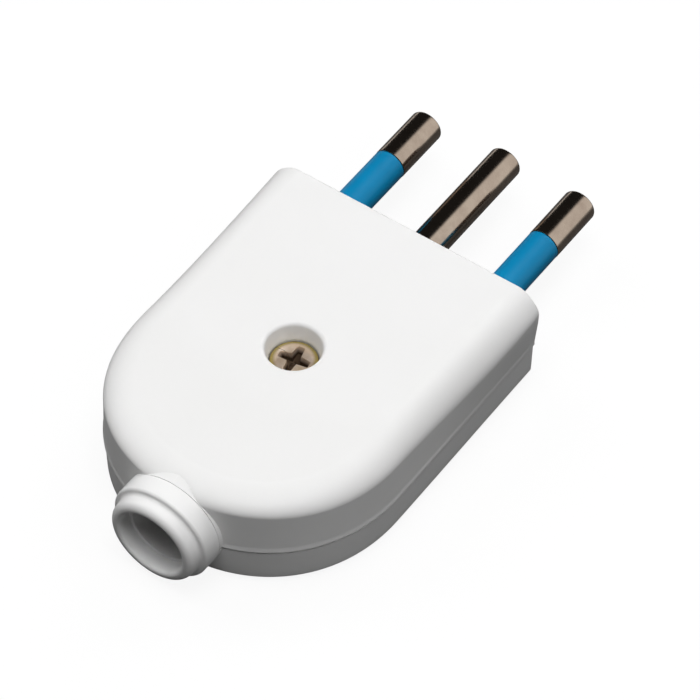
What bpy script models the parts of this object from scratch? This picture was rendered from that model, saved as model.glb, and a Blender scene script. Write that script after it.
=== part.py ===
"""Rewireable grounded plug with three round pins in a row.

The plug lies on its flat base. The origin is on the base, under the housing screw. The pins point along +Y,
the cord leaves along -Y, and the housing screw goes in from above. All lengths are in metres.
"""

import math

import bmesh
import bpy
from mathutils import Vector

MM = 0.001

# Body: a flat box with straight sides, half an ellipse at the rear and rounded top edges.
body_width = 43.0 * MM
body_thickness = 15.8 * MM
front_reach = 26.4 * MM
side_length = 32.2 * MM
rear_depth = 22.2 * MM
seam_height = 5.7 * MM
top_fillet = 4.4 * MM
side_flare = 0.55 * MM
base_draft = 0.15 * MM
front_edge_round = 0.5 * MM
front_corner_round = 1.0 * MM
base_edge = 0.4 * MM

# The flat top ends at an arc, and a shallow cone falls from it to the rear. The arc starts at the sides, a
# lead ahead of the rear curve, and bows back by its sag.
crease_lead = 1.6 * MM
crease_sag = 5.6 * MM
rear_drop = 1.0 * MM

# Walls of the two shells, and the lip with which they overlap at the seam.
wall = 2.2 * MM
front_wall = 2.6 * MM
base_floor = 2.0 * MM
roof = 2.2 * MM
lap_height = 1.2 * MM
lap_wall = 0.85 * MM
rib_wall = 1.4 * MM

# Clearance between pieces that touch, the run of a cutter past a face, and the bite of a rib into its wall.
fit_gap = 0.3 * MM
overrun = 2.0 * MM
bite = 0.4 * MM

# Contact pins. The margin runs from the axis of an outer pin to the side of the body.
pin_margin = 8.5 * MM
pin_height = 7.0 * MM
pin_radius = 2.5 * MM
line_pin_reach = 24.0 * MM
earth_pin_reach = 24.7 * MM
pin_tip_round = 0.45 * MM
sleeve_reach = 14.6 * MM
sleeve_radius = 2.42 * MM
sleeve_wall = 0.4 * MM
sleeve_gap = 0.2 * MM
pin_flange_radius = 4.0 * MM
pin_flange_width = 1.4 * MM
terminal_radius = 3.4 * MM
terminal_length = 9.6 * MM
terminal_bevel = 0.4 * MM
wire_bore_radius = 1.6 * MM
wire_bore_depth = 7.0 * MM

# Terminal screws.
terminal_screw_back = 4.3 * MM
terminal_screw_radius = 1.3 * MM
terminal_head_radius = 2.4 * MM
terminal_head_height = 1.6 * MM
terminal_slot_width = 0.7 * MM
terminal_slot_depth = 0.9 * MM
terminal_screw_tip = 0.6 * MM

# Housing screw, its well in the top and the threaded insert that it bites.
well_radius = 4.05 * MM
well_edge_round = 0.5 * MM
well_wall = 1.9 * MM
well_floor = 2.0 * MM
head_below_top = 2.4 * MM
head_radius = 3.3 * MM
head_height = 2.8 * MM
head_crown = 0.45 * MM
housing_screw_radius = 1.7 * MM
housing_screw_tip = 2.8 * MM
recess_reach = 2.3 * MM
recess_width = 1.1 * MM
recess_depth = 1.5 * MM
insert_radius = 2.9 * MM
insert_length = 5.0 * MM
insert_groove = 0.4 * MM
boss_wall = 1.5 * MM
boss_rise = 1.2 * MM

# Cord collar: an outer ring, a lip, a waist that the rear wall grips and a clipped flange inside.
cord_height = 6.9 * MM
ring_radius = 7.6 * MM
ring_length = 2.75 * MM
ring_round = 0.5 * MM
lip_radius = 6.65 * MM
lip_length = 2.2 * MM
lip_round = 1.1 * MM
mouth_radius = 5.1 * MM
mouth_round = 0.45 * MM
mouth_depth = 2.5 * MM
throat_radius = 4.7 * MM
waist_radius = 5.7 * MM
rear_grip = 2.4 * MM
collar_flange_radius = 7.0 * MM
collar_flange_width = 1.5 * MM

# Cord clamp: an arched bridge on two bosses, over two saddles. The space runs from the collar to the bridge.
clamp_space = 3.2 * MM
clamp_width = 5.5 * MM
clamp_thickness = 2.0 * MM
clamp_rise = 2.1 * MM
clamp_screw_spread = 9.5 * MM
clamp_foot_radius = 2.9 * MM
clamp_screw_radius = 1.2 * MM
clamp_head_radius = 2.4 * MM
clamp_head_height = 1.7 * MM
clamp_screw_tip = 2.9 * MM
clamp_boss_radius = 3.0 * MM
clamp_boss_top = 8.0 * MM
saddle_spread = 3.0 * MM
saddle_height = 2.6 * MM
saddle_half = 5.4 * MM

# Facets of round shapes.
ROUND_STEPS = 40
SMALL_STEPS = 24
FILLET_STEPS = 7
CORNER_STEPS = 3
REAR_STEPS = 18
CROWN_STEPS = 5

# The way the cross of the housing screw came to rest, in degrees.
RECESS_ANGLE = 8

front_y = front_reach
bend_y = front_y - side_length
rear_y = bend_y - rear_depth
lap_top = seam_height + lap_height
upper_clear = lap_top + fit_gap
crease_end_y = bend_y + crease_lead
half_top = body_width / 2 + side_flare - top_fillet
crease_radius = (half_top**2 + crease_sag**2) / (2 * crease_sag)
crease_y = crease_end_y - crease_sag + crease_radius
rear_slope = rear_drop / (crease_y - crease_radius - rear_y - top_fillet)
boss_top = lap_top + boss_rise
head_top = body_thickness - head_below_top
well_bottom = head_top - head_height - fit_gap
pin_pitch = body_width / 2 - pin_margin
seat_share = math.sqrt(1 - (ring_radius / (body_width / 2 + side_flare)) ** 2)
collar_front = bend_y - (rear_depth + side_flare) * seat_share
grip_front = collar_front + rear_grip
pocket_front = grip_front + collar_flange_width + 2 * fit_gap
clamp_y = pocket_front + clamp_space + clamp_width / 2


def clear_scene():
    """Empties the scene that Blender starts with."""
    for obj in list(bpy.data.objects):
        bpy.data.objects.remove(obj)


def material(name, colour, roughness, metallic=0.0):
    """A plain Principled material."""
    made = bpy.data.materials.new(name)
    made.use_nodes = True
    shader = made.node_tree.nodes["Principled BSDF"]
    shader.inputs["Base Color"].default_value = (*colour, 1.0)
    shader.inputs["Roughness"].default_value = roughness
    shader.inputs["Metallic"].default_value = metallic
    return made


def new_object(name, shape, surface=None):
    """Turns a bmesh into a named object with smooth round faces."""
    bmesh.ops.recalc_face_normals(shape, faces=shape.faces)
    mesh = bpy.data.meshes.new(name)
    shape.to_mesh(mesh)
    shape.free()
    mesh.shade_smooth()
    mesh.set_sharp_from_angle(angle=math.radians(32))
    if surface:
        mesh.materials.append(surface)
    obj = bpy.data.objects.new(name, mesh)
    bpy.context.scene.collection.objects.link(obj)
    return obj


def helper(obj):
    """Marks an object as a tool that only shapes another one."""
    obj.hide_render = True
    obj.display_type = "WIRE"
    return obj


def combine(target, other, operation):
    """Adds a Boolean with a helper object to the target."""
    modifier = target.modifiers.new(f"{operation.lower()}_{other.name}", "BOOLEAN")
    modifier.operation = operation
    modifier.solver = "EXACT"
    modifier.object = helper(other)


def cut(target, *others):
    for other in others:
        combine(target, other, "DIFFERENCE")


def join(target, *others):
    for other in others:
        combine(target, other, "UNION")


def loft(name, rings, surface=None):
    """Joins rings with equal point counts by quads, and caps both ends."""
    shape = bmesh.new()
    made = skin(shape, rings)
    shape.faces.new(made[0])
    shape.faces.new(made[-1])
    return new_object(name, shape, surface)


def skin(shape, rings):
    """Adds the points of every ring to a bmesh, with quads between each ring and the next."""
    made = [[shape.verts.new(point) for point in ring] for ring in rings]
    for low, high in zip(made, made[1:]):
        for i in range(len(low)):
            j = (i + 1) % len(low)
            shape.faces.new((low[i], low[j], high[j], high[i]))
    return made


def turned(name, profile, steps, surface=None):
    """Spins a profile of (radius, height) points about Z. It starts and ends on the axis, or is a loop."""
    shape = bmesh.new()
    points = [shape.verts.new((radius, 0, height)) for radius, height in profile]
    edges = [shape.edges.new(pair) for pair in zip(points, points[1:])]
    if profile[0][0] > 0:
        edges.append(shape.edges.new((points[-1], points[0])))
    bmesh.ops.spin(
        shape,
        geom=points + edges,
        cent=(0, 0, 0),
        axis=(0, 0, 1),
        angle=2 * math.pi,
        steps=steps,
        use_merge=True,
    )
    bmesh.ops.remove_doubles(shape, verts=shape.verts, dist=fit_gap / 1000)
    return new_object(name, shape, surface)


def prism(name, outline, start, end):
    """Extrudes an outline of (x, z) points along Y."""
    return loft(name, [[(x, y, z) for x, z in outline] for y in (start, end)])


def block(name, low, high):
    """A box between two corners."""
    x0, y0, z0 = low
    x1, y1, z1 = high
    return loft(name, [[(x0, y0, z), (x1, y0, z), (x1, y1, z), (x0, y1, z)] for z in (z0, z1)])


def arc(centre, radius, start, end, steps):
    """Points of an arc in a plane, with angles in degrees."""
    turns = [math.radians(start + (end - start) * i / steps) for i in range(steps + 1)]
    return [(centre[0] + radius * math.cos(t), centre[1] + radius * math.sin(t)) for t in turns]


def along_y(obj, x, y, z):
    """Lays a turned piece down, so that its height runs along +Y from the given place."""
    obj.rotation_euler = (math.radians(-90), 0, 0)
    obj.location = (x, y, z)
    return obj


# Form of the body


def plan(spread, front_set):
    """Outline of the body at one height, from the right front corner round the rear to the left one.

    The sides and the rear move out by spread, and the front face moves back by front_set.
    """
    half = body_width / 2 + spread
    front = front_y - front_set
    turn = front_corner_round
    right = arc((half - turn, front - turn), turn, 90, 0, CORNER_STEPS) + [(half, crease_end_y)]
    for x, y in arc((0, 0), 1, 0, -90, REAR_STEPS)[:-1]:
        right.append((half * x, bend_y + (rear_depth + spread) * y))
    return right + [(0, bend_y - rear_depth - spread)] + [(-x, y) for x, y in reversed(right)]


def fall(point):
    """How far the cone has fallen below the flat top at a plan point."""
    away = math.hypot(point[0], point[1] - crease_y) - crease_radius
    return rear_slope * away if away > 0 and point[1] < crease_end_y else 0


def wall_spread(height):
    """How far the side wall stands out from its width at the seam."""
    if height < seam_height:
        return -base_draft * (seam_height - height) / seam_height
    full = body_thickness - top_fillet - seam_height
    return side_flare * (height - seam_height) / full


def deep_form(name, inset, front_inset, low, top, surface=None):
    """Upper half of the body, or its cavity: a wall, a rounded edge and the creased top."""
    fillet = top_fillet - inset
    edge = front_edge_round
    top_plan = plan(side_flare - inset - fillet, front_inset + edge)
    falls = [fall(point) for point in top_plan]
    rings = [[(x, y, low) for x, y in plan(wall_spread(low) - inset, front_inset)]]
    for step in range(FILLET_STEPS + 1):
        turn = math.radians(90 * step / FILLET_STEPS)
        height = top - fillet + fillet * math.sin(turn)
        over = max(height - (top - edge), 0)
        front_set = front_inset + edge - math.sqrt(max(edge**2 - over**2, 0))
        outline = plan(side_flare - inset - fillet * (1 - math.cos(turn)), front_set)
        rings.append([(x, y, height - lower) for (x, y), lower in zip(outline, falls)])
    shape = bmesh.new()
    made = skin(shape, rings)
    shape.faces.new(made[0])
    first = CORNER_STEPS + 1
    last = len(top_plan) - 1 - first
    ring = made[-1]
    crease = [ring[first]]
    for x, y in top_plan[first + 1 : last]:
        away = Vector((x, y - crease_y)).normalized() * crease_radius
        crease.append(shape.verts.new((away.x, crease_y + away.y, top)))
    crease.append(ring[last])
    shape.faces.new(ring[: first + 1] + crease[1:-1] + ring[last:])
    rear = ring[first : last + 1]
    for i in range(len(rear) - 1):
        corners = [rear[i], rear[i + 1], crease[i + 1], crease[i]]
        shape.faces.new(list(dict.fromkeys(corners)))
    return new_object(name, shape, surface)


def flat_form(name, inset, front_inset, heights, surface=None):
    """A stretch of the body between level planes. Each height comes with an extra inset of its own."""
    rings = []
    for height, extra in heights:
        outline = plan(wall_spread(height) - inset - extra, front_inset + extra)
        rings.append([(x, y, height) for x, y in outline])
    return loft(name, rings, surface)


# Shapes that both shells share

web_front = front_y - front_wall - pin_flange_width - 2 * fit_gap
web_rear = web_front - rib_wall
terminal_front = web_rear - fit_gap
terminal_rear = terminal_front - terminal_length
seat_web_rear = terminal_rear + terminal_bevel
seat_web_front = seat_web_rear + rib_wall
pin_hole_radius = pin_radius + fit_gap
terminal_seat_radius = terminal_radius + fit_gap
waist_hole_radius = waist_radius + fit_gap
inner_half = body_width / 2 - wall
pin_places = (-pin_pitch, 0, pin_pitch)


def full_round(x, height, radius):
    return arc((x, height), radius, 0, 360, ROUND_STEPS)[:-1]


def arch(x, height, radius, bottom):
    """A round top over straight legs: the way in for a round piece laid in from below."""
    return arc((x, height), radius, 0, 180, ROUND_STEPS // 2) + [(x - radius, bottom), (x + radius, bottom)]


def rear_flat(name):
    """What the flat at the rear takes off. The flat is as wide as the collar ring, which seats on it."""
    half = body_width / 2
    behind = rear_y - side_flare - overrun
    return block(name, (-half, behind, -overrun), (half, collar_front, body_thickness + overrun))


def with_collar_block(cavity, high):
    """Keeps the cavity clear of the rear wall, so that the collar flange has a flat face to seat on."""
    half = collar_flange_radius + fit_gap + bite
    behind = rear_y - side_flare - overrun
    cut(cavity, block(f"{cavity.name}_end", (-half, behind, -overrun), (half, grip_front + bite, high)))
    return cavity


def flange_pocket(name):
    """Room for the clipped flange of the collar between the curved side walls."""
    half = collar_flange_radius + fit_gap
    reach = cord_height - base_floor
    return block(name, (-half, grip_front, cord_height - reach), (half, pocket_front, cord_height + reach))


def pin_openings(side, profile_of):
    """Cutters for the three pins: through the front wall and its web, and through the seat web."""
    made = []
    for number, x in enumerate(pin_places):
        hole = profile_of(x, pin_height, pin_hole_radius)
        seat = profile_of(x, pin_height, terminal_seat_radius)
        made.append(prism(f"{side}_pin_hole_{number}", hole, web_rear - fit_gap, front_y + overrun))
        ends = (seat_web_rear - fit_gap, seat_web_front + fit_gap)
        made.append(prism(f"{side}_pin_seat_{number}", seat, *ends))
    return made


def webs(side, half, low, high):
    """Two webs across the shell that hold the pins, and two ribs that part the terminals."""
    made = [
        block(f"{side}_front_web", (-half, web_rear, low), (half, web_front, high)),
        block(f"{side}_seat_web", (-half, seat_web_rear, low), (half, seat_web_front, high)),
    ]
    for name, x in (("left", -pin_pitch / 2), ("right", pin_pitch / 2)):
        corner = (x - rib_wall / 2, terminal_rear - rib_wall, low)
        made.append(block(f"{side}_rib_{name}", corner, (x + rib_wall / 2, web_front - bite, high)))
    return made


# Lower shell


def lower_shell(surface):
    """Shallow base with a raised lip, pin seats, the insert boss, clamp bosses and cord saddles."""
    top = seam_height - fit_gap / 2
    shell = flat_form("lower_shell", 0, 0, [(0, base_edge), (base_edge, 0), (top, 0)], surface)
    lip_inset = wall - lap_wall
    lip_heights = [(top - lap_height, 0), (lap_top, 0)]
    join(shell, flat_form("lower_lip", lip_inset, front_wall - lap_wall, lip_heights))
    cavity = flat_form("lower_cavity", wall, front_wall, [(base_floor, 0), (lap_top + overrun, 0)])
    cut(shell, with_collar_block(cavity, seam_height - bite))
    cut(shell, rear_flat("lower_rear_flat"))
    root = base_floor - bite
    join(shell, *webs("lower", inner_half + bite, root, lap_top))
    cut(shell, flange_pocket("lower_flange_pocket"))
    waist = full_round(0, cord_height, waist_hole_radius)
    cut(shell, prism("lower_waist_hole", waist, collar_front - overrun, grip_front + fit_gap))
    hole = insert_radius + fit_gap
    levels = (root, boss_top - insert_length - fit_gap, boss_top)
    join(shell, hollow_boss("insert_boss", (0, 0), hole + boss_wall, hole, levels))
    pilot = clamp_screw_radius + fit_gap
    levels = (root, clamp_screw_tip - fit_gap, clamp_boss_top)
    for side, x in (("left", -clamp_screw_spread), ("right", clamp_screw_spread)):
        join(shell, hollow_boss(f"clamp_boss_{side}", (x, clamp_y), clamp_boss_radius, pilot, levels))
    for name, y in (("rear", clamp_y - saddle_spread / 2), ("front", clamp_y + saddle_spread / 2)):
        low = (-saddle_half, y - rib_wall / 2, root)
        high = (saddle_half, y + rib_wall / 2, base_floor + saddle_height)
        join(shell, block(f"{name}_saddle", low, high))
    cut(shell, *pin_openings("lower", full_round))
    cord = full_round(0, cord_height, throat_radius + fit_gap)
    cut(shell, prism("cord_hollow", cord, clamp_y - clamp_width, clamp_y + clamp_width))
    return shell


def boss(name, place, radius, low, high):
    """An upright round post, or the hole for one."""
    made = turned(name, [(0, low), (radius, low), (radius, high), (0, high)], SMALL_STEPS)
    made.location = (*place, 0)
    return made


def hollow_boss(name, place, radius, bore, levels):
    """An upright round post with a blind hole. Its levels are its foot, the end of the hole and its top."""
    foot, end, top = levels
    profile = [(0, foot), (radius, foot), (radius, top), (bore, top), (bore, end), (0, end)]
    made = turned(name, profile, SMALL_STEPS)
    made.location = (*place, 0)
    return made


# Upper shell


def upper_shell(surface):
    """Deep cover with the screw well, webs that close over the pins, and a rebate for the lower lip."""
    low = seam_height + fit_gap / 2
    shell = deep_form("upper_shell", 0, 0, low, body_thickness, surface)
    ceiling = body_thickness - roof
    cavity = deep_form("upper_cavity", wall, front_wall, seam_height - overrun, ceiling)
    cut(shell, with_collar_block(cavity, 2 * cord_height - base_floor + bite))
    cut(shell, rear_flat("upper_rear_flat"))
    join(shell, *webs("upper", inner_half + side_flare + bite, upper_clear, ceiling + bite))
    cut(shell, flange_pocket("upper_flange_pocket"))
    below = seam_height - overrun
    waist = arch(0, cord_height, waist_hole_radius, below)
    cut(shell, prism("upper_waist_hole", waist, collar_front - overrun, grip_front + fit_gap))
    join(shell, boss("well_tube", (0, 0), well_radius + well_wall, well_bottom - well_floor, ceiling + bite))
    rebate = wall - lap_wall - fit_gap
    heights = [(seam_height - overrun, 0), (upper_clear, 0)]
    cut(shell, flat_form("upper_rebate", rebate, front_wall - lap_wall - fit_gap, heights))
    cut(shell, *pin_openings("upper", lambda x, z, r: arch(x, z, r, below)))
    cut(shell, screw_well())
    return shell


def screw_well():
    """Round well for the screw head with a rounded rim, and the shank hole in its floor."""
    shank = housing_screw_radius + fit_gap
    edge = well_edge_round
    rim = arc((well_radius + edge, body_thickness - edge), edge, 180, 90, CORNER_STEPS)
    over = body_thickness + overrun
    profile = [(0, well_bottom - well_floor - overrun), (shank, well_bottom - well_floor - overrun)]
    profile += [(shank, well_bottom), (well_radius, well_bottom)] + rim
    profile += [(well_radius + edge, over), (0, over)]
    return turned("screw_well", profile, ROUND_STEPS)


# Pins and sleeves


def pin(name, x, reach, surface, sleeved):
    """Turned contact pin: tip, round shank, flange between wall and web, and a terminal head."""
    edge = arc((pin_radius - pin_tip_round, reach - pin_tip_round), pin_tip_round, 0, 90, CORNER_STEPS)
    profile = [(0, reach)] + edge[::-1]
    flange_front = web_front - front_y + fit_gap + pin_flange_width
    flange_rear = flange_front - pin_flange_width
    head_front = terminal_front - front_y
    head_rear = terminal_rear - front_y
    if sleeved:
        core = sleeve_radius - sleeve_wall - sleeve_gap
        shoulder = sleeve_reach + sleeve_gap
        profile += [(pin_radius, shoulder), (core, shoulder), (core, flange_front)]
    else:
        profile += [(pin_radius, flange_front)]
    profile += [(pin_flange_radius, flange_front), (pin_flange_radius, flange_rear)]
    profile += [(pin_radius, flange_rear), (pin_radius, head_front)]
    narrow = terminal_radius - terminal_bevel
    profile += [(narrow, head_front), (terminal_radius, head_front - terminal_bevel)]
    profile += [(terminal_radius, head_rear + terminal_bevel), (narrow, head_rear)]
    bore_end = head_rear + wire_bore_depth
    flare = wire_bore_radius + terminal_bevel
    profile += [(flare, head_rear), (wire_bore_radius, head_rear + terminal_bevel)]
    profile += [(wire_bore_radius, bore_end), (0, bore_end + wire_bore_radius / 2)]
    made = along_y(turned(name, profile, SMALL_STEPS, surface), x, front_y, pin_height)
    place = (x, terminal_front - terminal_screw_back)
    hole = terminal_screw_radius + fit_gap
    cut(made, boss(f"{name}_screw_hole", place, hole, pin_height, pin_height + terminal_radius + overrun))
    return made


def sleeve(name, x, surface):
    """Insulating sleeve in the waist of a line pin, from the flange to the bare tip."""
    inner = sleeve_radius - sleeve_wall
    start = web_front - front_y + 2 * fit_gap + pin_flange_width
    profile = [(inner, start), (sleeve_radius, start), (sleeve_radius, sleeve_reach), (inner, sleeve_reach)]
    return along_y(turned(name, profile, SMALL_STEPS, surface), x, front_y, pin_height)


# Screws and insert


def cheese_screw(name, place, seat, tip, radius, head, height, surface):
    """Slotted screw with a low round head. Its seat and tip are heights."""
    chamfer = radius / 3
    profile = [(0, tip), (radius - chamfer, tip), (radius, tip + chamfer), (radius, seat), (head, seat)]
    profile += [(head, seat + height - chamfer), (head - chamfer, seat + height), (0, seat + height)]
    made = turned(name, profile, SMALL_STEPS, surface)
    made.location = (*place, 0)
    top = seat + height
    half = terminal_slot_width / 2
    corner = (-half, -head - overrun, top - terminal_slot_depth)
    slot = block(f"{name}_slot", corner, (half, head + overrun, top + overrun))
    slot.location = (*place, 0)
    cut(made, slot)
    return made


def housing_screw(surface):
    """Pan head screw with a cross recess, standing on the floor of the well."""
    seat = head_top - head_height
    radius = housing_screw_radius
    rim = seat + head_height - head_crown
    crown = [(head_radius * x, rim + head_crown * z) for x, z in arc((0, 0), 1, 0, 90, CROWN_STEPS)[:-1]]
    tip = housing_screw_tip
    profile = [(0, tip), (radius / 2, tip), (radius, tip + radius / 2)]
    profile += [(radius, seat), (head_radius, seat)] + crown + [(0, head_top)]
    screw = turned("housing_screw", profile, ROUND_STEPS, surface)
    cut(screw, cross_recess())
    return screw


def cross_recess():
    """Cross with four tapered arms, a little out of line with the body."""
    low = head_top - recess_depth
    over = head_top + head_crown
    tip_share = 0.3
    half = recess_width / 2
    rings = []
    for height, share in ((low, tip_share), (over, 1 + (1 - tip_share) * head_crown / recess_depth)):
        reach = recess_reach * share
        ring = []
        for turn in range(4):
            a = math.radians(RECESS_ANGLE + 90 * turn)
            along = Vector((math.cos(a), math.sin(a)))
            across = Vector((-along.y, along.x))
            ring += [along * reach - across * half, along * reach + across * half]
            ring.append((along + across) * half)
        rings.append([(point.x, point.y, height) for point in ring])
    return loft("cross_recess", rings)


def housing_insert(surface):
    """Threaded brass insert with a groove round its middle."""
    bottom = boss_top - insert_length
    bore = housing_screw_radius + fit_gap
    groove = insert_radius - insert_groove
    middle = (bottom + boss_top) / 2
    profile = [(bore, bottom), (groove, bottom), (insert_radius, bottom + insert_groove)]
    profile += [(insert_radius, middle - insert_groove), (groove, middle)]
    profile += [(insert_radius, middle + insert_groove), (insert_radius, boss_top - insert_groove)]
    profile += [(groove, boss_top), (bore, boss_top)]
    return turned("housing_insert", profile, SMALL_STEPS, surface)


# Cord collar and clamp


def cord_collar(surface):
    """Turned collar. Heights run inwards from the outer face of the ring's front side."""
    ring_rear = -fit_gap - ring_length
    lip_rear = ring_rear - lip_length
    groove_front = rear_grip + fit_gap
    flange_front = groove_front + collar_flange_width
    lip = arc((lip_radius - lip_round, lip_rear + lip_round), lip_round, 0, -90, CORNER_STEPS)
    ring = arc((ring_radius - ring_round, ring_rear + ring_round), ring_round, 0, -90, CORNER_STEPS)
    inner = (mouth_radius + mouth_round, lip_rear + mouth_round)
    mouth = arc(inner, mouth_round, 270, 180, CORNER_STEPS)
    profile = [(throat_radius, flange_front), (collar_flange_radius, flange_front)]
    profile += [(collar_flange_radius, groove_front), (waist_radius, groove_front), (waist_radius, -fit_gap)]
    profile += [(ring_radius, -fit_gap)] + ring + [(lip_radius, ring_rear)] + lip + mouth
    profile += [(mouth_radius, lip_rear + mouth_depth), (throat_radius, lip_rear + mouth_depth)]
    collar = along_y(turned("cord_collar", profile, ROUND_STEPS, surface), 0, collar_front, cord_height)
    reach = cord_height - base_floor - fit_gap
    wide = collar_flange_radius + overrun
    for name, low, high in (
        ("collar_flat_low", cord_height - wide, cord_height - reach),
        ("collar_flat_high", cord_height + reach, cord_height + wide),
    ):
        near = grip_front + fit_gap / 2
        cut(collar, block(name, (-wide, near, low), (wide, near + collar_flange_width + overrun, high)))
    return collar


def cord_clamp(surface):
    """Arched bridge over the cord, with a round foot at each end."""
    foot_low = clamp_boss_top + fit_gap
    foot_high = foot_low + clamp_thickness
    low = foot_low + bite / 2
    high = foot_high - bite / 2
    end = clamp_screw_spread + bite
    half = clamp_screw_spread - clamp_foot_radius - bite
    steps = SMALL_STEPS // 2
    spans = [half - 2 * half * i / steps for i in range(steps + 1)]
    rises = [(x, clamp_rise * math.cos(math.pi / 2 * x / half)) for x in spans]
    outline = [(end, low)] + [(x, low + rise) for x, rise in rises] + [(-end, low), (-end, high)]
    outline += [(x, high + rise) for x, rise in reversed(rises)] + [(end, high)]
    clamp = prism("cord_clamp", outline, -clamp_width / 2, clamp_width / 2)
    clamp.location = (0, clamp_y, 0)
    clamp.data.materials.append(surface)
    for side, x in (("left", -clamp_screw_spread), ("right", clamp_screw_spread)):
        join(clamp, boss(f"clamp_foot_{side}", (x, clamp_y), clamp_foot_radius, foot_low, foot_high))
        hole = clamp_screw_radius + fit_gap
        cut(clamp, boss(f"clamp_hole_{side}", (x, clamp_y), hole, foot_low - overrun, foot_high + overrun))
    return clamp


def build():
    """Makes every piece of the plug in place."""
    clear_scene()
    white = material("white_plastic", (0.83, 0.83, 0.82), 0.28)
    blue = material("blue_plastic", (0.012, 0.205, 0.51), 0.35)
    nickel = material("nickel_plate", (0.55, 0.50, 0.43), 0.2, 1.0)
    yellow = material("yellow_zinc", (0.72, 0.52, 0.22), 0.3, 1.0)
    brass = material("brass", (0.75, 0.55, 0.25), 0.25, 1.0)
    steel = material("zinc_plate", (0.62, 0.6, 0.56), 0.35, 1.0)
    grey = material("clamp_plastic", (0.6, 0.6, 0.58), 0.45)
    lower_shell(white)
    upper_shell(white)
    cord_collar(white)
    housing_screw(yellow)
    housing_insert(brass)
    for name, x in (("live", pin_pitch), ("neutral", -pin_pitch)):
        pin(f"{name}_pin", x, line_pin_reach, nickel, True)
        sleeve(f"{name}_pin_sleeve", x, blue)
    pin("earth_pin", 0, earth_pin_reach, nickel, False)
    screw_y = terminal_front - terminal_screw_back
    for name, x in (("live", pin_pitch), ("neutral", -pin_pitch), ("earth", 0)):
        cheese_screw(
            f"{name}_terminal_screw",
            (x, screw_y),
            pin_height + terminal_radius + fit_gap,
            pin_height + terminal_screw_tip,
            terminal_screw_radius,
            terminal_head_radius,
            terminal_head_height,
            steel,
        )
    cord_clamp(grey)
    for side, x in (("left", -clamp_screw_spread), ("right", clamp_screw_spread)):
        cheese_screw(
            f"clamp_screw_{side}",
            (x, clamp_y),
            clamp_boss_top + clamp_thickness + 2 * fit_gap,
            clamp_screw_tip,
            clamp_screw_radius,
            clamp_head_radius,
            clamp_head_height,
            steel,
        )


build()
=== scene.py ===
# %% [markdown]
# A flat mains plug with three round pins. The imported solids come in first: they carry the sizes and the
# places. Every smooth surface made below is laid on them, takes its main numbers from their boxes, and
# stands for the faceted solid that it covers.

# %% Load the plug's solids
import math

import bpy
import numpy as np
from mathutils import Matrix, Vector


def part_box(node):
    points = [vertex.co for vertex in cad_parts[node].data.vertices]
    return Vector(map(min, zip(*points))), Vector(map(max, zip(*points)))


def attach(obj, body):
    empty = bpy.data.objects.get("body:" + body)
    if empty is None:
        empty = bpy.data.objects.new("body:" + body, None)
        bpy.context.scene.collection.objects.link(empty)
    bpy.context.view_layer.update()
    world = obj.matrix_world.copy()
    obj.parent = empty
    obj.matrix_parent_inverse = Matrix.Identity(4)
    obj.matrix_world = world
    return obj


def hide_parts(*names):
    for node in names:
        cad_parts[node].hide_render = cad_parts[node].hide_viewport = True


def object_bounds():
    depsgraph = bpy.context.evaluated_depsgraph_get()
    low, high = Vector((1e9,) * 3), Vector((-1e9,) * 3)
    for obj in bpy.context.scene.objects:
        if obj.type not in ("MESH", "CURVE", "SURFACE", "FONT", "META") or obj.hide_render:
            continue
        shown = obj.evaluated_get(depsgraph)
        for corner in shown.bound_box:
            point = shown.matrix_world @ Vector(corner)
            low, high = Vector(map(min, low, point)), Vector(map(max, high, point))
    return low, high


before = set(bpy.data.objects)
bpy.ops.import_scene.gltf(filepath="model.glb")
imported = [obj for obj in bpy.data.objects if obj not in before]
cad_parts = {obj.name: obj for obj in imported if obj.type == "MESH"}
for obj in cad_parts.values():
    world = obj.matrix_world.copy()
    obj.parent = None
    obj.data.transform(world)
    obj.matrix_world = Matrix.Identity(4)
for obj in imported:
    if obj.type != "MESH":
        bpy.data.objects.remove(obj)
solid_box = [list(corner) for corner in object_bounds()]
MM = 0.001


def low_high(node):
    """Lowest and highest corner of a solid, as arrays."""
    return [np.array(corner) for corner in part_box(node)]


cover_low, cover_high = low_high("upper_shell")
base_high = low_high("lower_shell")[1]
print("solids:", len(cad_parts), "cover:", np.round((cover_high - cover_low) / MM, 2), "mm")

# %% [markdown]
# Most pieces here are skins over a grid of points: rows run across the piece and columns run round it. One
# helper turns such a grid into a mesh. The columns always close on themselves. The rows may close too, as
# on a tube with a wall, or end in a pole, where a whole row shrinks to one point.


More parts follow.
